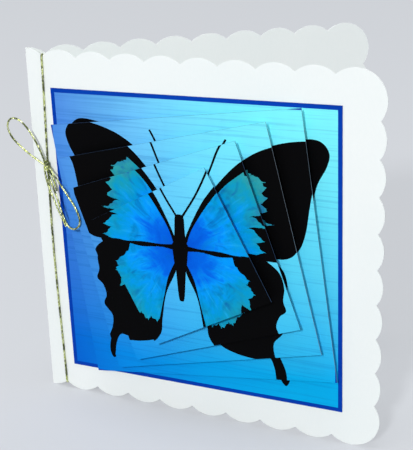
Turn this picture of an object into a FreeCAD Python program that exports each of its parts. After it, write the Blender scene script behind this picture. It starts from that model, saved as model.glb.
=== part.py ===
import FreeCAD, Part
import math
import os

# A square greeting card with scalloped edges that stands part open. A butterfly picture and four smaller,
# turned copies of it on foam pads make a stepped, twisted stack on the front cover, and a thin twisted
# cord is tied round the front cover in a bow. Millimetres, +Z up, front cover facing -Y, bottom at z = 0.

os.makedirs("parts", exist_ok=True)

# The card blank
cover_side = 144.0
card_thick = 0.3
cover_opening = 41.4
crease_radius = 0.2
strip_bend = 2.8
scallop_count = 9
scallop_radius = 11.2

# The picture sheet, placed from the middle of the front cover, and its copies, smallest last
picture_side = 117.5
picture_across = -1.8
picture_up = -0.9
picture_turn = 0.7
sheet_thick = 0.3
layer_sides = [103.6, 88.2, 72.7, 54.2]
layer_turns = [7.8, 13.8, 19.7, 27.8]

# The foam pads under each copy
pad_side = 5.0
pad_thick = 3.0
pad_inset = 3.0

# The print on the sheets, drawn where it shows and a little way under the next copy, from 1 mm2 of it up
print_thick = 0.05
print_under = 5.0
border_width = 1.6
butterfly_across = 0.6
butterfly_tilt = -1.0
antenna_width = 0.8

# The right half of the butterfly from its middle line, as printed on the largest sheet
forewing = [
    (1.5, 7.0), (3.6, 12.4), (9.0, 23.0), (15.0, 31.0), (22.5, 38.6), (31.0, 43.6), (41.0, 46.4),
    (48.8, 46.6), (52.6, 42.6), (51.8, 37.4), (48.4, 30.6), (46.9, 23.4), (45.4, 13.2), (43.0, 6.4),
    (39.0, 3.4), (33.0, 3.0),
]
hindwing = [
    (33.0, 3.0), (37.8, -0.8), (39.7, -6.4), (39.3, -11.6), (40.4, -15.4), (37.9, -18.0), (36.6, -22.2),
    (37.8, -26.2), (34.4, -30.6), (34.8, -36.0), (37.6, -42.5), (38.3, -48.0), (36.7, -51.2),
    (34.3, -48.4), (33.2, -42.5), (31.0, -38.4), (26.5, -38.6), (19.5, -37.8), (13.0, -35.6),
    (9.3, -31.0), (8.5, -25.0), (6.4, -14.0), (1.8, -3.5),
]
forewing_patch_edge = [(2.8, 6.8), (5.2, 13.0), (11.3, 22.6), (17.0, 29.6), (24.0, 35.3)]
forewing_patch_teeth = [
    (25.4, 33.2), (32.0, 32.0), (29.6, 30.8), (31.4, 29.2), (29.8, 27.4), (31.6, 25.2), (29.4, 23.2),
    (32.0, 20.8), (26.0, 18.8), (35.0, 16.2), (25.2, 14.6), (33.8, 10.6), (28.2, 9.4), (32.8, 6.2),
    (28.0, 5.0), (20.5, 4.9), (2.8, 5.9),
]
hindwing_patch_edge = [(2.6, -1.6), (5.4, -7.4), (7.4, -15.5), (9.6, -24.6)]
hindwing_patch_teeth = [
    (10.6, -26.4), (13.4, -24.6), (14.6, -26.6), (17.4, -23.2), (19.4, -24.6), (20.6, -21.0),
    (24.2, -18.8), (24.0, -13.6), (28.6, -16.4), (26.6, -11.2), (30.0, -9.4), (26.0, -5.8),
    (27.6, -4.2), (24.6, -1.8), (22.2, 0.6), (20.8, 3.9), (2.6, 3.7),
]
body_side = [(0.0, 17.9), (1.7, 17.0), (2.1, 11.5), (2.5, 4.0), (1.9, -6.0), (1.1, -15.4), (0.0, -16.6)]
antenna = [(1.0, 16.8), (6.6, 25.6), (10.8, 34.0), (14.0, 41.8), (16.2, 45.8)]

# The cord. Routes are (across, out, up) from the middle of the knot, out being away from the cover.
cord_thick = 0.8
cord_sides = 6
cord_gap = 0.05
knot_up = 98.1
knot_across = 6.9
knot_width = 2.6
knot_height = 3.6
knot_rounding = 0.7
knot_sides = 10
wrap_bow = (-0.7, -35.0)
upper_loop_route = [
    (-0.8, 0.1, 0.0), (-5.0, 0.4, 2.4), (-10.0, 0.9, 6.2), (-14.6, 1.3, 10.4), (-16.2, 1.6, 15.0),
    (-14.2, 1.8, 18.6), (-10.2, 1.7, 18.4), (-6.4, 1.2, 14.6), (-3.0, 0.7, 8.4), (-0.3, 0.3, 1.2),
]
lower_loop_route = [
    (0.3, 0.6, -1.2), (2.9, 2.0, -6.0), (5.7, 2.8, -12.2), (7.5, 3.1, -18.1), (10.0, 3.6, -23.5),
    (15.2, 6.2, -23.3), (18.3, 6.6, -20.0), (16.5, 6.6, -14.1), (12.4, 5.8, -9.3), (7.0, 3.6, -4.6),
    (0.8, 0.2, 0.2),
]
long_tail_route = [
    (-0.7, 0.7, -1.0), (0.8, 2.0, -6.2), (3.5, 2.2, -12.6), (5.8, 2.4, -18.2), (8.5, 2.4, -23.9),
]
short_tail_route = [(0.1, -0.2, -0.8), (2.0, -0.1, -4.0), (3.4, 0.3, -7.2), (4.3, 0.7, -10.0)]


def point(x, y, z=0.0):
    return FreeCAD.Vector(x, y, z)


def heading(degrees):
    return point(math.cos(math.radians(degrees)), math.sin(math.radians(degrees)))


# What follows from the sizes above. The covers' inner faces meet, if carried on, at x = y = 0.
half_wedge = math.radians(cover_opening + strip_bend) / 2
wedge_middle = heading((cover_opening - strip_bend) / 2)
crease_run = crease_radius / math.tan(half_wedge)
crease_centre = wedge_middle * (crease_radius / math.sin(half_wedge))
corner_centre = cover_side - scallop_radius
row_pitch = (corner_centre - crease_run) / scallop_count
column_pitch = (cover_side - 2 * scallop_radius) / scallop_count
notch_across = crease_run + row_pitch / 2
notch_depth = scallop_radius - math.sqrt(scallop_radius ** 2 - (row_pitch / 2) ** 2)
front_inside = -notch_across * math.tan(math.radians(strip_bend))
front_face = front_inside - card_thick
stack_height = sheet_thick + len(layer_sides) * (pad_thick + sheet_thick) + print_thick
back_edge = cover_side * heading(cover_opening) + card_thick * heading(cover_opening + 90)
box_left = crease_centre.x - crease_radius - card_thick
box_centre = point((box_left + cover_side) / 2, (front_face - stack_height + back_edge.y) / 2)


def save(shape, name):
    shape.translate(-box_centre)
    shape.exportStep(f"parts/{name}.step")
    print(name, len(shape.Solids), "solid(s)", round(shape.Volume, 2), "mm3, valid", shape.isValid())


# Card blank
def outer_notch(first, second):
    along = second - first
    outward = point(along.y, -along.x).normalize()
    reach = math.sqrt(scallop_radius ** 2 - (along.Length / 2) ** 2)
    return (first + second) / 2 + outward * reach


def scallop_arc(centre, start, end):
    first = math.atan2(start.y - centre.y, start.x - centre.x)
    last = math.atan2(end.y - centre.y, end.x - centre.x)
    middle = first + ((last - first) % (2 * math.pi)) / 2
    return Part.Arc(start, centre + heading(math.degrees(middle)) * scallop_radius, end).toShape()


def cover_window():
    # a prism with the cover's scalloped outline: x is the way from the fold, z is up
    low, high = scallop_radius, corner_centre
    centres = [point(crease_run + i * row_pitch, low) for i in range(scallop_count)]
    centres += [point(corner_centre, low + i * column_pitch) for i in range(scallop_count)]
    centres += [point(crease_run + i * row_pitch, high) for i in range(scallop_count, -1, -1)]
    notches = [outer_notch(a, b) for a, b in zip(centres, centres[1:])]
    turns = [point(crease_run, 0)] + notches + [point(crease_run, cover_side)]
    edges = [scallop_arc(c, a, b) for c, a, b in zip(centres, turns, turns[1:])]
    beyond = -5 * card_thick
    spine = [turns[-1], point(beyond, cover_side), point(beyond, 0), turns[0]]
    edges += [Part.makeLine(a, b) for a, b in zip(spine, spine[1:])]
    window = Part.Face(Part.Wire(edges)).extrude(point(0, 0, 20 * card_thick))
    window.rotate(point(0, 0), point(1, 0), 90)
    window.translate(point(0, 10 * card_thick))
    return window


def half_card(inside_points, thicken):
    # one cover with its half of the crease, thickened away from the line of its inner face
    middle_of_crease = crease_centre - wedge_middle * crease_radius
    start = inside_points[0]
    between = ((start - crease_centre).normalize() - wedge_middle).normalize()
    crease = Part.Arc(middle_of_crease, crease_centre + between * crease_radius, start).toShape()
    lines = [Part.makeLine(a, b) for a, b in zip(inside_points, inside_points[1:])]
    section = Part.Wire([crease] + lines).makeOffset2D(thicken, 2, True, True)
    return section.extrude(point(0, 0, cover_side))


def card_blank():
    strip, back = heading(-strip_bend), heading(cover_opening)
    cord_line = strip * (notch_across / strip.x)
    free_edge = point(cover_side, front_inside)
    front = half_card([strip * crease_run, cord_line, free_edge], card_thick)
    front = front.common(cover_window())
    rear = half_card([back * crease_run, back * cover_side], -card_thick)
    window = cover_window()
    window.rotate(point(0, 0), point(0, 0, 1), cover_opening)
    rear = rear.common(window)
    return front.fuse(rear).removeSplitter()


# Picture sheets. Each is drawn flat, face up, about the picture's middle, and then stood on the cover.
def sheet_side(level):
    return picture_side if level == 0 else layer_sides[level - 1]


def sheet_turn(level):
    return 0.0 if level == 0 else layer_turns[level - 1] - picture_turn


def sheet_base(level):
    return level * (sheet_thick + pad_thick)


def square(side, turn, base, thick, middle=point(0, 0)):
    block = Part.makeBox(side, side, thick, middle + point(-side / 2, -side / 2, base))
    block.rotate(point(0, 0), point(0, 0, 1), turn)
    return block


def stand_on_cover(shape):
    shape.rotate(point(0, 0), point(0, 0, 1), picture_turn)
    shape.rotate(point(0, 0), point(1, 0), 90)
    shape.translate(point(cover_side / 2 + picture_across, front_face, cover_side / 2 + picture_up))
    return shape


def pads_under(level):
    reach = sheet_side(level) / 2 - pad_inset - pad_side / 2
    base = sheet_base(level) - pad_thick
    corners = [point(-reach, reach), point(reach, reach), point(reach, -reach), point(-reach, -reach)]
    return [square(pad_side, sheet_turn(level), base, pad_thick, corner) for corner in corners]


# Print
def smooth(points):
    curve = Part.BSplineCurve()
    curve.interpolate([point(x, y) for x, y in points])
    return curve.toShape()


def straight(points):
    places = [point(x, y) for x, y in points]
    return [Part.makeLine(a, b) for a, b in zip(places, places[1:])]


def field(edges):
    return Part.Face(Part.Wire(edges)).extrude(point(0, 0, print_thick))


def mirrored(shape):
    return shape.mirror(point(0, 0), point(1, 0))


def wing():
    return field([smooth(forewing)] + straight(hindwing + [forewing[0]]))


def patch(edge, teeth):
    return field([smooth(edge)] + straight([edge[-1]] + teeth + [edge[0]]))


def body():
    other_side = [(-x, y) for x, y in reversed(body_side)]
    return field([smooth(body_side), smooth(other_side)])


def feeler():
    line = Part.Wire(straight(antenna))
    return line.makeOffset2D(antenna_width, 2, True, True).extrude(point(0, 0, print_thick))


def butterfly():
    # the black figure and its blue patches, with the patches cut out of the black
    patches = [patch(forewing_patch_edge, forewing_patch_teeth)]
    patches.append(patch(hindwing_patch_edge, hindwing_patch_teeth))
    patches += [mirrored(shape) for shape in patches]
    blue = Part.makeCompound(patches)
    wings, feelers = wing(), feeler()
    black = body().fuse([wings, mirrored(wings), feelers, mirrored(feelers)]).cut(blue)
    for shape in (black, blue):
        shape.rotate(point(0, 0), point(0, 0, 1), butterfly_tilt)
        shape.translate(point(butterfly_across, 0))
    return black.removeSplitter(), blue


def border():
    outer = square(picture_side, 0, 0, print_thick)
    return outer.cut(square(picture_side - 2 * border_width, 0, 0, print_thick))


def printed_on(level, design):
    # the part of a design that falls on this level's sheet, round the pads that stand on it
    face = sheet_base(level) + sheet_thick
    ink = design.copy()
    ink.translate(point(0, 0, face))
    ink = ink.common(square(sheet_side(level), sheet_turn(level), face, print_thick))
    if level < len(layer_sides):
        covered = sheet_side(level + 1) - 2 * print_under
        ink = ink.cut([square(covered, sheet_turn(level + 1), face, print_thick)] + pads_under(level + 1))
    return Part.makeCompound(ink.Solids)


# Cord
def route_places(route):
    knot_out = front_face - cord_gap - knot_width / 2
    return [point(knot_across + x, knot_out - y, knot_up + z) for x, y, z in route]


def sided_face(centre, along, width, sides):
    # a regular outline that stands for a round one, as wide across its flats
    across = width / 2 / math.cos(math.pi / sides)
    turns = [2 * math.pi * i / sides for i in range(sides + 1)]
    ring = Part.makePolygon([point(math.cos(a) * across, math.sin(a) * across) for a in turns])
    ring.Placement = FreeCAD.Placement(centre, FreeCAD.Rotation(point(0, 0, 1), along))
    return Part.Face(ring)


def tube(name, places):
    # straight runs joined by arcs as large as their two runs allow
    runs, here, radii, length = [], places[0], [], 0.0
    section = sided_face(places[0], places[1] - places[0], cord_thick, cord_sides)
    section_area = section.Area
    for before, turn, after in zip(places, places[1:], places[2:]):
        way_in, way_out = turn - before, after - turn
        trim = 0.45 * min(way_in.Length, way_out.Length)
        turned = way_in.getAngle(way_out)
        radius = trim / math.tan(turned / 2)
        way_in.normalize()
        way_out.normalize()
        start = turn - way_in * trim
        centre = turn + (way_out - way_in).normalize() * (radius / math.cos(turned / 2))
        run = section.extrude(start - here)
        section.translate(start - here)
        bend_axis, angle = way_in.cross(way_out), math.degrees(turned)
        runs += [run, section.revolve(centre, bend_axis, angle)]
        section.rotate(centre, bend_axis, angle)
        length += (start - here).Length + radius * turned
        radii.append(round(radius, 2))
        here = turn + way_out * trim
    runs.append(section.extrude(places[-1] - here))
    length += (places[-1] - here).Length
    shape = runs[0].fuse(runs[1:]).removeSplitter()
    expected = section_area * length
    print(name, "length", round(length, 1), "volume", round(shape.Volume, 2), "of", round(expected, 2))
    print(name, "radii", radii)
    return shape


def wrap_places():
    # up from the knot, over the top notch, down inside the cover, under the bottom notch and up again
    clear = cord_gap + cord_thick / 2 / math.cos(math.pi / cord_sides)
    outside, inside = front_face - clear, front_inside + clear
    seat = clear * scallop_radius / (scallop_radius - notch_depth)
    over, under = cover_side - notch_depth + seat, notch_depth - seat
    into_knot = knot_height / 4
    bow_across, bow_up = wrap_bow
    return [
        point(knot_across, outside, knot_up + into_knot),
        point(notch_across, outside, over),
        point(notch_across, inside, over),
        point(notch_across, inside, under),
        point(notch_across, outside, under),
        point(knot_across + bow_across, outside, knot_up + bow_up),
        point(knot_across, outside, knot_up - into_knot),
    ]


def knot():
    foot, upward = route_places([(0, 0, -knot_height / 2)])[0], point(0, 0, knot_height)
    barrel = sided_face(foot, upward, knot_width, knot_sides).extrude(upward)
    rims = [edge for edge in barrel.Edges if abs(edge.BoundBox.ZLength) < knot_rounding]
    return barrel.makeChamfer(knot_rounding, rims)


def save_card():
    save(card_blank(), "card_blank")


def save_pictures():
    black, blue = butterfly()
    designs = {"border": border(), "black": black, "blue": blue}
    for level in range(len(layer_sides) + 1):
        name = f"layer_{level}" if level else "base_picture"
        sheet = square(sheet_side(level), sheet_turn(level), sheet_base(level), sheet_thick)
        save(stand_on_cover(sheet), name)
        for colour, design in designs.items():
            ink = printed_on(level, design)
            if ink.Volume > print_thick:
                save(stand_on_cover(ink), f"{name}_{colour}")


def save_pads():
    for level in range(1, len(layer_sides) + 1):
        for number, pad in enumerate(pads_under(level), 1):
            save(stand_on_cover(pad), f"layer_{level}_pad_{number}")


def save_cord():
    routes = {
        "cord_wrap": wrap_places(),
        "cord_upper_loop": route_places(upper_loop_route),
        "cord_lower_loop": route_places(lower_loop_route),
        "cord_long_tail": route_places(long_tail_route),
        "cord_short_tail": route_places(short_tail_route),
    }
    for name, places in routes.items():
        save(tube(name, places).cut(knot()), name)
    save(knot(), "cord_knot")


save_card()
save_pictures()
save_pads()
save_cord()
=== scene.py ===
import math
import random

import bmesh
import bpy
from mathutils import Matrix, Vector
from mathutils.geometry import delaunay_2d_cdt


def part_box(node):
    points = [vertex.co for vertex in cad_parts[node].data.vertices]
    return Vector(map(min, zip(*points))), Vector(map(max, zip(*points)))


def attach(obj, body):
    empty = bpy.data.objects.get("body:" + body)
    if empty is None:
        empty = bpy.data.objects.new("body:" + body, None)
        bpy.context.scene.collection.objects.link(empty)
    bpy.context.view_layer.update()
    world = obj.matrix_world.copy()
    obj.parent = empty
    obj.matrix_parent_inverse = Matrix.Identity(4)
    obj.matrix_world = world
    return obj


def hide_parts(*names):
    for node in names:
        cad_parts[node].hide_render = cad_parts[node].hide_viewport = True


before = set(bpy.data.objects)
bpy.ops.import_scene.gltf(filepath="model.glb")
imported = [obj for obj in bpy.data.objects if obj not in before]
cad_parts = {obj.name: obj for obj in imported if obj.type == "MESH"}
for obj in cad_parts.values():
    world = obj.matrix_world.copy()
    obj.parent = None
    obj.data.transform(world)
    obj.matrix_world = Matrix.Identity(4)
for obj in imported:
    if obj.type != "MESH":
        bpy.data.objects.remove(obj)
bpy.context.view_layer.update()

# A folded white card with a stepped stack of butterfly pictures and a gold cord tied in a bow.
# Blender works in metres here. Outlines of the print are in millimetres from the picture's middle.
mm = 0.001
body = "root"


# Shader wiring

class Wire:  # one socket of a node, so that numbers that vary over a surface can be added and multiplied
    def __init__(self, maps, socket):
        self.maps, self.socket = maps, socket

    def __add__(self, other):
        return self.maps.sum("ADD", self, other)

    def __sub__(self, other):
        return self.maps.sum("SUBTRACT", self, other)

    def __mul__(self, other):
        return self.maps.sum("MULTIPLY", self, other)

    def __truediv__(self, other):
        return self.maps.sum("DIVIDE", self, other)

    def __rsub__(self, other):
        return self.maps.sum("SUBTRACT", other, self)

    __radd__, __rmul__ = __add__, __mul__

    def __gt__(self, other):
        return self.maps.sum("GREATER_THAN", self, other)

    def __abs__(self):
        return self.maps.sum("ABSOLUTE", self)


class Maps:  # the nodes of one material, or of the world
    def __init__(self, owner):
        owner.use_nodes = True
        self.owner = owner
        self.nodes, self.links = owner.node_tree.nodes, owner.node_tree.links

    def node(self, kind, settings=None, sockets=None, out=0):
        made = self.nodes.new(kind)
        for key, value in (settings or {}).items():
            if key == "stops":
                setStops(made.color_ramp, value)
            else:
                setattr(made, key, value)
        for key, value in (sockets or {}).items():
            self.feed(made.inputs[key], value)
        return Wire(self, made.outputs[out])

    def feed(self, socket, value):
        if isinstance(value, Wire):
            self.links.new(value.socket, socket)
        else:
            socket.default_value = value

    def sum(self, operation, *values):
        return self.node("ShaderNodeMath", {"operation": operation}, dict(enumerate(values)))

    def clamp(self, value):
        return self.node("ShaderNodeClamp", {}, {"Value": value})

    def spread(self, value, low, high):
        sockets = {"Value": value, "From Min": low, "From Max": high}
        return self.node("ShaderNodeMapRange", {"interpolation_type": "SMOOTHSTEP"}, sockets)

    def blend(self, share, first, second, kind="MIX"):
        settings = {"data_type": "RGBA", "blend_type": kind, "clamp_factor": True}
        return self.node("ShaderNodeMix", settings, {0: share, 6: first, 7: second}, out=2)

    def vector(self, operation, *values):
        out = 1 if operation in ("LENGTH", "DOT_PRODUCT") else 0
        return self.node("ShaderNodeVectorMath", {"operation": operation}, dict(enumerate(values)), out)

    def join(self, x=0.0, y=0.0, z=0.0):
        return self.node("ShaderNodeCombineXYZ", {}, {"X": x, "Y": y, "Z": z})

    def place(self):
        return self.node("ShaderNodeTexCoord", out=3)

    def split(self, vector):
        return [self.node("ShaderNodeSeparateXYZ", {}, {0: vector}, out=i) for i in range(3)]

    def noise(self, vector, scale, detail=3.0, roughness=0.5, distortion=0.0):
        sockets = {"Vector": vector, "Scale": scale, "Detail": detail, "Roughness": roughness}
        return self.node("ShaderNodeTexNoise", {}, dict(sockets, Distortion=distortion))

    def ramp(self, value, stops):
        return self.node("ShaderNodeValToRGB", {"stops": stops}, {"Fac": value})

    def facing(self, direction):
        normal = self.node("ShaderNodeNewGeometry", out=1)
        return self.vector("DOT_PRODUCT", normal, direction)

    def bump(self, height, strength, distance):
        sockets = {"Height": height, "Strength": strength, "Distance": distance}
        self.finish("Normal", self.node("ShaderNodeBump", {}, sockets))

    def finish(self, socket, value):
        self.feed(self.nodes["Principled BSDF"].inputs[socket], value)


def surface(name, roughness, metallic=0.0, gloss=0.5):
    maps = Maps(bpy.data.materials.new(name))
    maps.finish("Roughness", roughness)
    maps.finish("Metallic", metallic)
    maps.finish("Specular IOR Level", gloss)
    return maps


def setStops(ramp, stops):
    while len(ramp.elements) < len(stops):
        ramp.elements.new(1.0)
    for element, (position, colour) in zip(ramp.elements, stops):
        element.position, element.color = position, colour


def ink(red, green, blue):
    # a colour as it looks on screen, 0 to 255, as the linear colour that Blender mixes
    def linear(value):
        share = value / 255
        return share / 12.92 if share <= 0.04045 else ((share + 0.055) / 1.055) ** 2.4
    return (linear(red), linear(green), linear(blue), 1.0)


# Frame

def middle(node):
    low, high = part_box(node)
    return (Vector(low) + Vector(high)) / 2


sheets = {
    "nodes": ["base_picture", "layer_1", "layer_2", "layer_3", "layer_4"],
    "turns": [0.7, 7.8, 13.8, 19.7, 27.8],  # degrees
    "printThick": 0.05 * mm,
    "printUnder": 5.0 * mm,  # how far the print goes on under the next copy
}
pictureMiddle = middle("base_picture")


def sheetSide(level):
    low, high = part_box(sheets["nodes"][level])
    turn = math.radians(sheets["turns"][level])
    return (high[0] - low[0]) / (math.cos(turn) + math.sin(turn))


def sheetFace(level):
    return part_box(sheets["nodes"][level])[0][1]


def show(name, mesh, material, replaced=()):
    piece = bpy.data.objects.new(name, mesh)
    bpy.context.collection.objects.link(piece)
    mesh.materials.append(material)
    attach(piece, body)
    if replaced:
        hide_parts(*replaced)
    return piece


def dress(node, material):
    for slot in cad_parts[node].material_slots:
        slot.material = material


# Card blank

card = {
    "white": ink(243, 247, 246),
    "shade": ink(232, 240, 240),
    "roughness": 0.62,
    "fibreScale": 1400.0,
    "toothScale": 5200.0,
}


def cardStock():
    maps = surface("cardStock", card["roughness"])
    place = maps.place()
    fibres = maps.noise(maps.vector("MULTIPLY", place, (1.0, 1.0, 0.35)), card["fibreScale"], 4.0, 0.6)
    tooth = maps.noise(place, card["toothScale"], 2.0, 0.6)
    cloud = maps.noise(place, 24.0, 2.0, 0.5)
    tone = maps.clamp(cloud * 0.9 + fibres * 0.5 - 0.35)
    maps.finish("Base Color", maps.blend(tone, card["white"], card["shade"]))
    maps.finish("Roughness", card["roughness"] + (fibres - 0.5) * 0.12)
    maps.bump(fibres * 0.6 + tooth * 0.4, 0.16, 0.03 * mm)
    return maps.owner


dress("card_blank", cardStock())
print("card: stock")


# Picture prints

sky = {
    "across": [(0.0, ink(80, 140, 226)), (0.3, ink(114, 202, 250)), (0.55, ink(121, 230, 255)),
               (0.85, ink(126, 246, 255))],
    "deepening": (0.005, 0.46, 0.84, 1.0),  # what is left of the colour at the picture's foot
    "line": ink(10, 92, 176),
    "lineDepth": 0.2,
    "paper": ink(246, 248, 247),
    # the cut paper edges get painted shade, standing in for the shadow lines along each sheet's edge: grey
    # at the sides and dark navy where they face up; the real cut edge is white card
    "shadedCutEdge": ink(128, 140, 154),
    "shadedCutTop": ink(52, 74, 104),
    "roughness": 0.55,
    "gloss": 0.05,
}


def skyColour(maps, place):
    x, _, z = maps.split(maps.vector("SUBTRACT", place, pictureMiddle[:]))
    side = sheetSide(0)
    cloud = maps.noise(place, 26.0, 3.0, 0.55)
    across = maps.clamp(x / side + 0.5 + (cloud - 0.5) * 0.12)
    down = maps.clamp(0.54 - z / side * 1.15 + (cloud - 0.5) * 0.12)
    colour = maps.blend(down, maps.ramp(across, sky["across"]), sky["deepening"], "MULTIPLY")
    lines = maps.noise(maps.vector("MULTIPLY", place, (18.0, 1.0, 1000.0)), 1.0, 2.0, 0.7)
    fewLines = maps.noise(maps.vector("MULTIPLY", place, (9.0, 1.0, 620.0)), 1.0, 1.0, 0.5)
    columns = maps.noise(maps.vector("MULTIPLY", place, (260.0, 1.0, 5.0)), 1.0, 2.0, 0.5)
    dark = maps.spread(lines, 0.5, 0.66) * 0.9 + maps.spread(fewLines, 0.6, 0.7) + (columns - 0.5) * 0.5
    return maps.blend(maps.clamp(dark * sky["lineDepth"]), colour, sky["line"])


def skyPrint():
    maps = surface("skyPrint", sky["roughness"], gloss=sky["gloss"])
    place = maps.place()
    printed, unprinted = maps.facing((0.0, -1.0, 0.0)) > 0.5, maps.facing((0.0, 1.0, 0.0)) > 0.5
    # painted shade on the cut edges: the grey side colour, and dark navy where an edge faces up
    shadedCut = maps.blend(maps.facing((0.0, 0.0, 1.0)) > 0.3, sky["shadedCutEdge"], sky["shadedCutTop"])
    plain = maps.blend(unprinted, shadedCut, sky["paper"])
    maps.finish("Base Color", maps.blend(printed, plain, skyColour(maps, place)))
    grain = maps.noise(place, 2600.0, 3.0, 0.6)
    maps.finish("Roughness", sky["roughness"] + (grain - 0.5) * 0.16)
    maps.bump(grain, 0.08, 0.02 * mm)
    return maps.owner


def dressSheets():
    material = skyPrint()
    for node in sheets["nodes"]:
        dress(node, material)


dressSheets()
print("pictures: sky")

# The right half of the butterfly from its middle line
butterfly = {
    "across": 0.6,
    "tilt": -1.0,
    "forewing": [
        (1.5, 7.0), (3.6, 12.4), (9.0, 23.0), (15.0, 31.0), (22.5, 38.6), (31.0, 43.6), (41.0, 46.4),
        (48.8, 46.6), (52.6, 42.6), (51.8, 37.4), (48.4, 30.6), (46.9, 23.4), (45.4, 13.2), (43.0, 6.4),
        (39.0, 3.4), (33.0, 3.0),
    ],
    "hindwing": [
        (33.0, 3.0), (37.8, -0.8), (39.7, -6.4), (39.3, -11.6), (40.4, -15.4), (37.9, -18.0),
        (36.6, -22.2), (37.8, -26.2), (34.4, -30.6), (34.8, -36.0), (37.6, -42.5), (38.3, -48.0),
        (36.7, -51.2), (34.3, -48.4), (33.2, -42.5), (31.0, -38.4), (26.5, -38.6), (19.5, -37.8),
        (13.0, -35.6), (9.3, -31.0), (8.5, -25.0), (6.4, -14.0), (1.8, -3.5), (1.5, 7.0),
    ],
    "forePatchEdge": [(2.8, 6.8), (5.2, 13.0), (11.3, 22.6), (17.0, 29.6), (24.0, 35.3)],
    "forePatchTeeth": [
        (25.4, 33.2), (32.0, 32.0), (29.6, 30.8), (31.4, 29.2), (29.8, 27.4), (31.6, 25.2),
        (29.4, 23.2), (32.0, 20.8), (26.0, 18.8), (35.0, 16.2), (25.2, 14.6), (33.8, 10.6),
        (28.2, 9.4), (32.8, 6.2), (28.0, 5.0), (20.5, 4.9), (2.8, 5.9),
    ],
    "hindPatchEdge": [(2.6, -1.6), (5.4, -7.4), (7.4, -15.5), (9.6, -24.6)],
    "hindPatchTeeth": [
        (10.6, -26.4), (13.4, -24.6), (14.6, -26.6), (17.4, -23.2), (19.4, -24.6), (20.6, -21.0),
        (24.2, -18.8), (24.0, -13.6), (28.6, -16.4), (26.6, -11.2), (30.0, -9.4), (26.0, -5.8),
        (27.6, -4.2), (24.6, -1.8), (22.2, 0.6), (20.8, 3.9), (2.6, 3.7),
    ],
    "bodySide": [(0.0, 17.9), (1.7, 17.0), (2.1, 11.5), (2.5, 4.0), (1.9, -6.0), (1.1, -15.4), (0.0, -16.6)],
    "antenna": [(1.0, 16.8), (6.6, 25.6), (10.8, 34.0), (14.0, 41.8), (16.2, 45.8)],
    "antennaWidth": 0.8,
    "stepsPerSpan": 6,
    "hair": 0.6,  # the distance between the fine hairs along a ragged edge
    "hairLength": 1.3,
    "seed": 5,
    "black": ink(1, 2, 3),
    "blackWarm": ink(2, 1, 2),
    "roughness": 0.6,
    "gloss": 0.04,
}


def rounded(points):
    # a smooth line through the points (Catmull-Rom)
    ends = [points[0]] + points + [points[-1]]
    line = []
    for a, b, c, d in zip(ends, ends[1:], ends[2:], ends[3:]):
        for step in range(butterfly["stepsPerSpan"]):
            t = step / butterfly["stepsPerSpan"]
            line.append(tuple(
                0.5 * (2 * q + (r - p) * t + (2 * p - 5 * q + 4 * r - s) * t * t
                       + (3 * q - p - 3 * r + s) * t ** 3)
                for p, q, r, s in zip(a, b, c, d)))
    return line + [points[-1]]


def feathered(points, root, rng):
    # a ragged line through the points, in thin spikes that point away from the wing's root
    line = []
    for start, end in zip(points, points[1:]):
        start, end = Vector(start), Vector(end)
        away = ((start + end) / 2 - Vector(root)).normalized()
        over = Vector((-away.y, away.x))
        run, shift = (end - start).dot(away), (end - start).dot(over)
        count = max(2, int((end - start).length / butterfly["hair"]))
        for step in range(count):
            t = step / count
            eased = t * t * (3 - 2 * t)
            eased = eased * eased * (3 - 2 * eased)
            stray = (rng.random() - 0.3) * butterfly["hairLength"] * (step % 2)
            line.append(tuple(start + away * (run * t + stray) + over * shift * eased))
    return line + [points[-1]]


def ribbon(points, width):
    line = rounded(points)
    left, right = [], []
    for i, (x, y) in enumerate(line):
        (xa, ya), (xb, yb) = line[max(i - 1, 0)], line[min(i + 1, len(line) - 1)]
        length = math.hypot(xb - xa, yb - ya)
        across, up = (yb - ya) / length * width / 2, -(xb - xa) / length * width / 2
        left.append((x - across, y - up))
        right.append((x + across, y + up))
    return left + right[::-1]


def bothSides(outline):
    return [outline, [(-x, y) for x, y in reversed(outline)]]


def anticlockwise(outline):
    area = sum(xa * yb - xb * ya for (xa, ya), (xb, yb) in zip(outline, outline[1:] + outline[:1]))
    return outline if area > 0 else outline[::-1]


def designs():
    rng = random.Random(butterfly["seed"])
    wing = rounded(butterfly["forewing"])[:-1] + rounded(butterfly["hindwing"])[:-1]
    foreEdge, hindEdge = rounded(butterfly["forePatchEdge"]), rounded(butterfly["hindPatchEdge"])
    foreTeeth = feathered([foreEdge[-1]] + butterfly["forePatchTeeth"], wingBlue["foreRoot"], rng)
    hindTeeth = feathered([hindEdge[-1]] + butterfly["hindPatchTeeth"], wingBlue["hindRoot"], rng)
    side = rounded(butterfly["bodySide"])
    black = bothSides(wing) + bothSides(ribbon(butterfly["antenna"], butterfly["antennaWidth"]))
    black.append(side + [(-x, y) for x, y in reversed(side[1:-1])])
    blue = bothSides(foreEdge[:-1] + foreTeeth[:-1]) + bothSides(hindEdge[:-1] + hindTeeth[:-1])
    half = sheetSide(0) / mm / 2
    inner = half - border["width"]
    bars = [
        [(-half, inner), (half, inner), (half, half), (-half, half)],
        [(-half, -half), (half, -half), (half, -inner), (-half, -inner)],
        [(-half, -inner), (-inner, -inner), (-inner, inner), (-half, inner)],
        [(inner, -inner), (half, -inner), (half, inner), (inner, inner)],
    ]
    return {"black": black, "blue": blue, "border": bars}


border = {
    "width": 1.6,
    "colour": ink(2, 70, 184),
    "dark": ink(0, 50, 158),
}


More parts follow.
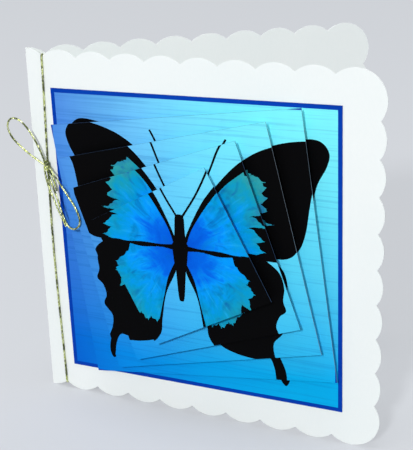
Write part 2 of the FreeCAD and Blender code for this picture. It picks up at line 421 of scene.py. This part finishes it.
def onSheet(level, outlines, low, high, turned):
    # the outlines cut to this sheet's edge and round the next copy, as a slab of ink
    flat = bmesh.new()
    # the butterfly leans and stands off the middle; the border doesn't
    tilt = math.radians(butterfly["tilt"]) if turned else 0.0
    shift = butterfly["across"] if turned else 0.0
    places, rings = [], []
    for outline in outlines:
        rings.append(list(range(len(places), len(places) + len(outline))))
        for x, y in anticlockwise(outline):
            across = x * math.cos(tilt) - y * math.sin(tilt) + shift
            up = x * math.sin(tilt) + y * math.cos(tilt)
            places.append(Vector((across, up)))
    # overlapping outlines become one field of triangles, each inside at least one outline
    corners, _, triangles, _, _, owners = delaunay_2d_cdt(places, [], rings, 1, 1e-4)
    points = [flat.verts.new((x * mm, 0.0, y * mm)) for x, y in corners]
    for triangle, owner in zip(triangles, owners):
        if owner:
            flat.faces.new([points[i] for i in triangle])
    turn = Matrix.Rotation(-math.radians(sheets["turns"][0]), 4, "Y")
    bmesh.ops.transform(flat, matrix=turn, verts=flat.verts[:])
    cutSquare(flat, sheetSide(level), sheets["turns"][level], True)
    if level < len(sheets["nodes"]) - 1:
        covered = sheetSide(level + 1) - 2 * sheets["printUnder"]
        cutSquare(flat, covered, sheets["turns"][level + 1], False)
    face = sheetFace(level)
    bmesh.ops.transform(flat, matrix=Matrix.Translation((pictureMiddle.x, 0.0, pictureMiddle.z)),
                        verts=flat.verts[:])
    return slab(flat, face - low, face - high)


def cutSquare(flat, side, degrees, keepInside):
    # cuts the flat mesh along a turned square's edges, then drops what is outside, or inside
    angle = math.radians(degrees)
    right = Vector((math.cos(angle), 0, math.sin(angle)))
    up = Vector((-math.sin(angle), 0, math.cos(angle)))
    for direction in (right, up, -right, -up):
        geometry = flat.verts[:] + flat.edges[:] + flat.faces[:]
        bmesh.ops.bisect_plane(flat, geom=geometry, dist=1e-7, plane_co=direction * side / 2,
                               plane_no=direction, clear_outer=keepInside)
    if not keepInside:
        def inside(face):
            centre = face.calc_center_median()
            return max(abs(centre.dot(right)), abs(centre.dot(up))) < side / 2
        hidden = [face for face in flat.faces if inside(face)]
        bmesh.ops.delete(flat, geom=hidden, context="FACES")


def slab(flat, back, front):
    # a closed slab between two depths, with side walls at the flat mesh's open edges
    made = bmesh.new()
    levels = []
    for depth in (back, front):
        levels.append({v: made.verts.new((v.co.x, depth, v.co.z)) for v in flat.verts})
    for face in flat.faces:
        around = face.verts[:]
        if face.normal.y > 0:
            around.reverse()
        made.faces.new([levels[1][v] for v in around])
        made.faces.new([levels[0][v] for v in reversed(around)])
    for edge in flat.edges:
        if len(edge.link_faces) == 1:
            a, b = edge.verts
            made.faces.new([levels[0][a], levels[0][b], levels[1][b], levels[1][a]])
    bmesh.ops.recalc_face_normals(made, faces=made.faces[:])
    loose = [v for v in made.verts if not v.link_faces]
    bmesh.ops.delete(made, geom=loose, context="VERTS")
    mesh = bpy.data.meshes.new("ink")
    made.to_mesh(mesh)
    made.free()
    flat.free()
    return mesh


def blackPrint():
    maps = surface("blackPrint", butterfly["roughness"], gloss=butterfly["gloss"])
    place = maps.place()
    grain = maps.noise(place, 2200.0, 3.0, 0.6)
    soft = maps.noise(place, 60.0, 3.0, 0.5)
    maps.finish("Base Color", maps.blend(soft, butterfly["black"], butterfly["blackWarm"]))
    maps.finish("Roughness", butterfly["roughness"] + (grain - 0.5) * 0.14)
    maps.bump(grain, 0.06, 0.02 * mm)
    return maps.owner


wingBlue = {
    "stops": [(0.0, ink(0, 86, 214)), (0.22, ink(0, 104, 230)), (0.42, ink(2, 152, 250)),
              (0.66, ink(2, 152, 208)), (0.88, ink(24, 156, 178)), (1.0, ink(48, 160, 168))],
    "pale": ink(40, 186, 255),
    "dusk": ink(0, 76, 172),
    "split": 4.4,  # the forewing's blue lies above this height
    "foreRoot": (3.0, 6.5),
    "hindRoot": (2.5, 2.5),
    "roughness": 0.55,
}


def wingPrint():
    maps = surface("wingPrint", wingBlue["roughness"], gloss=butterfly["gloss"])
    place = maps.place()
    centre = pictureMiddle + Vector((butterfly["across"] * mm, 0, 0))
    x, _, z = maps.split(maps.vector("SUBTRACT", place, centre[:]))
    x, z = abs(x) / mm, z / mm
    fore = z > wingBlue["split"]
    rootUp = fore * (wingBlue["foreRoot"][1] - wingBlue["hindRoot"][1]) + wingBlue["hindRoot"][1]
    right, up = x - wingBlue["hindRoot"][0], z - rootUp
    reach = maps.vector("LENGTH", maps.join(right, 0.0, up))
    angle = maps.sum("ARCTAN2", up, right)
    streaks = maps.noise(maps.join(angle * 3.4, reach * 0.06, fore * 3.0), 1.4, 3.0, 0.55, 0.9)
    fine = maps.noise(maps.join(angle * 12.0, reach * 0.08, fore * 5.0), 1.2, 3.0, 0.6, 0.4)
    cloud = maps.noise(place, 110.0, 3.0, 0.55, 1.2)
    away = maps.spread(reach, 3.0, 15.0)
    outward = maps.clamp(reach / 36.0 + (streaks - 0.5) * away * 0.5 + (cloud - 0.5) * 0.7)
    colour = maps.ramp(outward, wingBlue["stops"])
    colour = maps.blend(maps.spread(fine, 0.52, 0.74) * away * 0.35, colour, wingBlue["pale"])
    dusk = maps.spread(cloud, 0.5, 0.7) * 0.35 + maps.spread(streaks, 0.56, 0.72) * away * 0.45
    colour = maps.blend(maps.clamp(dusk), colour, wingBlue["dusk"])
    maps.finish("Base Color", colour)
    grain = maps.noise(place, 2200.0, 3.0, 0.6)
    maps.finish("Roughness", wingBlue["roughness"] + (grain - 0.5) * 0.14)
    maps.bump(grain, 0.06, 0.02 * mm)
    return maps.owner


def borderPrint():
    maps = surface("borderPrint", sky["roughness"], gloss=sky["gloss"])
    place = maps.place()
    soft = maps.noise(maps.vector("MULTIPLY", place, (30.0, 1.0, 400.0)), 1.0, 3.0, 0.6)
    maps.finish("Base Color", maps.blend(soft, border["colour"], border["dark"]))
    maps.bump(maps.noise(place, 2600.0, 3.0, 0.6), 0.06, 0.02 * mm)
    return maps.owner


def printPictures():
    inks = {
        "border": (borderPrint(), "border_print", 0.0, 1.0, False),
        "black": (blackPrint(), "black_print", 0.0, 0.6, True),
        "blue": (wingPrint(), "wing_blue_print", 0.6, 1.0, True),
    }
    drawn = designs()
    for level, node in enumerate(sheets["nodes"]):
        for colour, (material, slot, low, high, turned) in inks.items():
            thick = sheets["printThick"]
            mesh = onSheet(level, drawn[colour], low * thick, high * thick, turned)
            if not mesh.polygons:
                continue
            replaced = f"{node}_{colour}"
            known = [replaced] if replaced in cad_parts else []
            show(f"{node}_{colour}_ink", mesh, material, known)
            print("print:", node, colour, len(mesh.polygons), "faces")


printPictures()

# Foam pads

foam = {
    "white": ink(238, 238, 232),
    "shade": ink(206, 206, 200),
    "cellScale": 2400.0,
    "roughness": 0.85,
}


def foamPads():
    maps = surface("foamPads", foam["roughness"])
    place = maps.place()
    cells = maps.node("ShaderNodeTexVoronoi", {}, {"Vector": place, "Scale": foam["cellScale"]})
    maps.finish("Base Color", maps.blend(maps.spread(cells, 0.0, 0.7), foam["shade"], foam["white"]))
    maps.bump(cells, 0.5, 0.15 * mm)
    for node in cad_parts:
        if "_pad_" in node:
            dress(node, maps.owner)


foamPads()
print("pads: foam")

# Cord

cord = {
    "thick": 0.8 * mm,
    "strands": 3,
    "strandShare": 0.28,  # a strand's radius as a share of the cord's thickness
    "pitch": 4.2 * mm,
    "step": 0.3 * mm,
    "sides": 8,
    "knotTurns": 2.5,
    "knotSteps": 40,
    # pale is the foil's light tone and partly painted glints; the olive stretches are painted dark
    # reflections and shade
    "pale": ink(244, 248, 204),
    "gold": ink(184, 194, 100),
    "paintedDarkReflection": ink(44, 56, 20),
}
knotMiddle = middle("cord_knot")

# Routes from the knot's middle: across, towards the cover, up
upperLoop = [
    (-0.0008, -0.0001, 0.0), (-0.0050, -0.0004, 0.0024), (-0.0100, -0.0009, 0.0062),
    (-0.0146, -0.0013, 0.0104), (-0.0162, -0.0016, 0.0150), (-0.0142, -0.0018, 0.0186),
    (-0.0102, -0.0017, 0.0184), (-0.0064, -0.0012, 0.0146), (-0.0030, -0.0007, 0.0084),
    (-0.0003, -0.0003, 0.0012),
]
longTail = [
    (-0.0007, -0.0007, -0.0010), (0.0008, -0.0020, -0.0062), (0.0035, -0.0022, -0.0126),
    (0.0058, -0.0024, -0.0182), (0.0085, -0.0024, -0.0239),
]
lowerLoop = [
    (0.0003, -0.0006, -0.0012), (0.0029, -0.0020, -0.0060), (0.0057, -0.0028, -0.0122),
    (0.0075, -0.0031, -0.0181), (0.0100, -0.0036, -0.0235), (0.0152, -0.0062, -0.0233),
    (0.0183, -0.0066, -0.0200), (0.0165, -0.0066, -0.0141), (0.0124, -0.0058, -0.0093),
    (0.0070, -0.0036, -0.0046), (0.0008, -0.0002, 0.0002),
]
knotTurn = [(-0.0003, 0.0009, 0.0010), (0.0006, -0.0002, 0.0014), (0.0010, -0.0004, -0.0006)]
shortTail = [(0.0020, 0.0001, -0.0040), (0.0034, -0.0003, -0.0072), (0.0043, -0.0007, -0.0100)]


def goldCord():
    maps = surface("goldCord", 0.3, 1.0)
    place = maps.place()
    flecks = maps.noise(place, 1500.0, 3.0, 0.6)
    # painted dark reflections and shade: olive stretches along the cord, over pale flecks that are partly
    # painted glints
    darkReflectionStretches = maps.noise(place, 420.0, 2.0, 0.5)
    colour = maps.blend(maps.spread(flecks, 0.4, 0.62), cord["gold"], cord["pale"])
    colour = maps.blend(maps.spread(darkReflectionStretches, 0.46, 0.6) * 0.85, colour, cord["paintedDarkReflection"])
    maps.finish("Base Color", colour)
    maps.finish("Roughness", 0.24 + flecks * 0.22)
    maps.bump(flecks, 0.5, 0.05 * mm)
    return maps.owner


def splineThrough(places):
    curve = bpy.data.curves.new("route", "CURVE")
    curve.dimensions = "3D"
    spline = curve.splines.new("NURBS")
    spline.points.add(len(places) - 1)
    for point, place in zip(spline.points, places):
        point.co = (*place, 1.0)
    spline.order_u = 3
    spline.use_endpoint_u = True
    spline.resolution_u = 24
    holder = bpy.data.objects.new("route", curve)
    mesh = bpy.data.meshes.new_from_object(holder)
    line = [v.co.copy() for v in mesh.vertices]
    bpy.data.objects.remove(holder)
    bpy.data.meshes.remove(mesh)
    return line


def evenly(line, step):
    # the same line with its points the same distance apart
    lengths = [0.0]
    for a, b in zip(line, line[1:]):
        lengths.append(lengths[-1] + (b - a).length)
    count = max(2, round(lengths[-1] / step))
    places, at = [], 0
    for i in range(count + 1):
        wanted = lengths[-1] * i / count
        while at < len(line) - 2 and lengths[at + 1] < wanted:
            at += 1
        span = lengths[at + 1] - lengths[at]
        places.append(line[at].lerp(line[at + 1], (wanted - lengths[at]) / span))
    return places, lengths[-1]


def twisted(line):
    # three strands laid round the line, each a round tube with closed ends
    places, length = evenly(line, cord["step"])
    strandRadius = cord["thick"] * cord["strandShare"]
    layRadius = cord["thick"] / 2 - strandRadius
    made = bmesh.new()
    side = (places[1] - places[0]).orthogonal().normalized()
    frames = []
    for i, place in enumerate(places):
        along = (places[min(i + 1, len(places) - 1)] - places[max(i - 1, 0)]).normalized()
        side = (side - along * side.dot(along)).normalized()
        frames.append((place, side.copy(), along.cross(side)))
    for strand in range(cord["strands"]):
        centres = []
        for i, (place, first, second) in enumerate(frames):
            angle = 2 * math.pi * (i * cord["step"] / cord["pitch"] + strand / cord["strands"])
            centres.append(place + (first * math.cos(angle) + second * math.sin(angle)) * layRadius)
        addTube(made, centres, strandRadius)
    mesh = bpy.data.meshes.new("cord")
    made.to_mesh(mesh)
    made.free()
    mesh.shade_smooth()
    return mesh, places, length


def addTube(made, centres, radius):
    rings = []
    side = (centres[1] - centres[0]).orthogonal().normalized()
    for i, centre in enumerate(centres):
        along = (centres[min(i + 1, len(centres) - 1)] - centres[max(i - 1, 0)]).normalized()
        side = (side - along * side.dot(along)).normalized()
        other = along.cross(side)
        turns = [2 * math.pi * k / cord["sides"] for k in range(cord["sides"])]
        rings.append([made.verts.new(centre + (side * math.cos(a) + other * math.sin(a)) * radius)
                      for a in turns])
    for a, b in zip(rings, rings[1:]):
        for k in range(cord["sides"]):
            made.faces.new([a[k], a[k - 1], b[k - 1], b[k]])
    made.faces.new(rings[0][::-1])
    made.faces.new(rings[-1])


def fromKnot(route):
    return [knotMiddle + Vector(place) for place in route]


def wrapRoute():
    # over the top notch, down inside the front cover, under the bottom notch and up to the knot
    low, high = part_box("cord_wrap")
    half = cord["thick"] / 2
    front, inside = low[1] + half, high[1] - half
    top, bottom = high[2] - half, low[2] + half
    across = high[0] - half
    reach = 6 * cord["thick"]
    out = 0.15 * mm
    return [
        knotMiddle + Vector((0.0, front - knotMiddle.y, 0.0009)),
        Vector(((knotMiddle.x + across) / 2, front, (knotMiddle.z + top) / 2)),
        Vector((across, front, top - reach)),
        Vector((across, front - out, top)),
        Vector((across, inside + out, top)),
        Vector((across, inside, top - reach)),
        Vector((across, inside, (top + bottom) / 2)),
        Vector((across, inside, bottom + reach)),
        Vector((across, inside + out, bottom)),
        Vector((across, front - out, bottom)),
        Vector((across, front, bottom + reach)),
        knotMiddle + Vector((-0.0007, front - knotMiddle.y, -0.0350)),
        knotMiddle + Vector((0.0, front - knotMiddle.y, -0.0009)),
    ]


def knotRoute():
    # close turns round the crossing
    low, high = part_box("cord_knot")
    half = cord["thick"] / 2
    radius = (high[0] - low[0]) / 2 - half
    rise = (high[2] - low[2]) / 2 - half
    places = []
    for i in range(cord["knotSteps"] + 1):
        share = i / cord["knotSteps"]
        angle = 2 * math.pi * cord["knotTurns"] * share
        places.append(knotMiddle + Vector((math.cos(angle) * radius, math.sin(angle) * radius,
                                           rise * (2 * share - 1))))
    return places


def tieCord():
    material = goldCord()
    knotMesh, _, _ = twisted(splineThrough(knotRoute()))
    knot = show("bow_knot", knotMesh, material, ["cord_knot"])
    runs = {
        "wrap_and_short_tail": (wrapRoute() + fromKnot(knotTurn + shortTail), "bare", "limp", "taut",
                                ["cord_wrap", "cord_short_tail"], [knot]),
        "upper_loop_and_long_tail": (fromKnot(upperLoop + longTail), "bare", "limp", "loose",
                                     ["cord_upper_loop", "cord_long_tail"], []),
        "lower_loop": (fromKnot(lowerLoop), "knot", "limp", "loose", ["cord_lower_loop"], []),
    }
    for name, (route, end, stiffness, lay, nodes, others) in runs.items():
        mesh, path, length = twisted(splineThrough(route))
        piece = show(name, mesh, material, nodes)
        print("cord:", name, round(length / mm, 1), "mm", len(mesh.polygons), "faces")


tieCord()

# Stage, light and camera

stage = {
    "floorSize": 12.0,
    "floorColour": ink(146, 149, 153),
    "floorGlow": ink(156, 158, 162),  # added wherever the floor is seen, and lights nothing
    "lightColour": (1.0, 1.0, 1.0, 1.0),
    "lightStrength": 0.45,
    "seenColour": ink(208, 211, 215),
    "key": {"kind": "AREA", "place": (0.232, -2.661, 1.455), "settings": {"size": 0.3, "energy": 56.0}},
    "top": {"kind": "SUN", "place": (-0.1, -0.2, 3.0), "settings": {"angle": 0.5, "energy": 1.4}},
    "aim": (0.0, -0.01, 0.07),
    "cameraPlace": (0.16884, -0.38793, 0.21593),
    "viewAlong": (-0.40635, 0.85147, -0.33149),
    "viewUp": (-0.11531, 0.3121, 0.94302),
    "focalPixels": 1084.0,
    "picturePixels": (413, 450),
}


def seen(maps):
    # 1 where a surface is looked at, straight or in a reflection, and 0 where it only lights others
    kinds = ("Camera", "Glossy", "Transmission")
    rays = [maps.node("ShaderNodeLightPath", out=f"Is {kind} Ray") for kind in kinds]
    return maps.clamp(rays[0] + rays[1] + rays[2])


def addFloor():
    mesh = bpy.data.meshes.new("floor")
    half = stage["floorSize"] / 2
    corners = [(-half, -half, 0), (half, -half, 0), (half, half, 0), (-half, half, 0)]
    mesh.from_pydata(corners, [], [(0, 1, 2, 3)])
    floor = bpy.data.objects.new("floor", mesh)
    bpy.context.collection.objects.link(floor)
    maps = surface("floorPaper", 0.9, gloss=0.0)
    maps.finish("Base Color", stage["floorColour"])
    maps.finish("Emission Color", maps.blend(seen(maps), (0.0, 0.0, 0.0, 1.0), stage["floorGlow"]))
    maps.finish("Emission Strength", 1.0)
    mesh.materials.append(maps.owner)


def lightWorld():
    # lit evenly, and a plain pale colour wherever the world itself is seen
    world = bpy.data.worlds.new("studio")
    bpy.context.scene.world = world
    maps = Maps(world)
    share = seen(maps)
    background = maps.nodes["Background"]
    maps.feed(background.inputs["Color"], maps.blend(share, stage["lightColour"], stage["seenColour"]))
    maps.feed(background.inputs["Strength"], share * (1.0 - stage["lightStrength"]) + stage["lightStrength"])


def addLamp(name):
    facts = stage[name]
    lamp = bpy.data.lights.new(name, facts["kind"])
    for key, value in facts["settings"].items():
        setattr(lamp, key, value)
    holder = bpy.data.objects.new(name, lamp)
    holder.location = facts["place"]
    way = Vector(stage["aim"]) - Vector(facts["place"])
    holder.rotation_euler = way.to_track_quat("-Z", "Y").to_euler()
    bpy.context.collection.objects.link(holder)


def addCamera():
    data = bpy.data.cameras.new("camera")
    data.sensor_width = 36.0
    data.lens = stage["focalPixels"] * data.sensor_width / max(stage["picturePixels"])
    data.clip_start, data.clip_end = 0.01, 20.0
    holder = bpy.data.objects.new("camera", data)
    back = -Vector(stage["viewAlong"]).normalized()
    right = Vector(stage["viewUp"]).cross(back).normalized()
    up = back.cross(right)
    turn = Matrix((right, up, back)).transposed().to_4x4()
    holder.matrix_world = Matrix.Translation(stage["cameraPlace"]) @ turn
    bpy.context.collection.objects.link(holder)
    bpy.context.scene.camera = holder


addFloor()
lightWorld()
addLamp("key")
addLamp("top")
addCamera()
bpy.context.scene.view_settings.view_transform = "Standard"
print("stage: floor, light, camera")
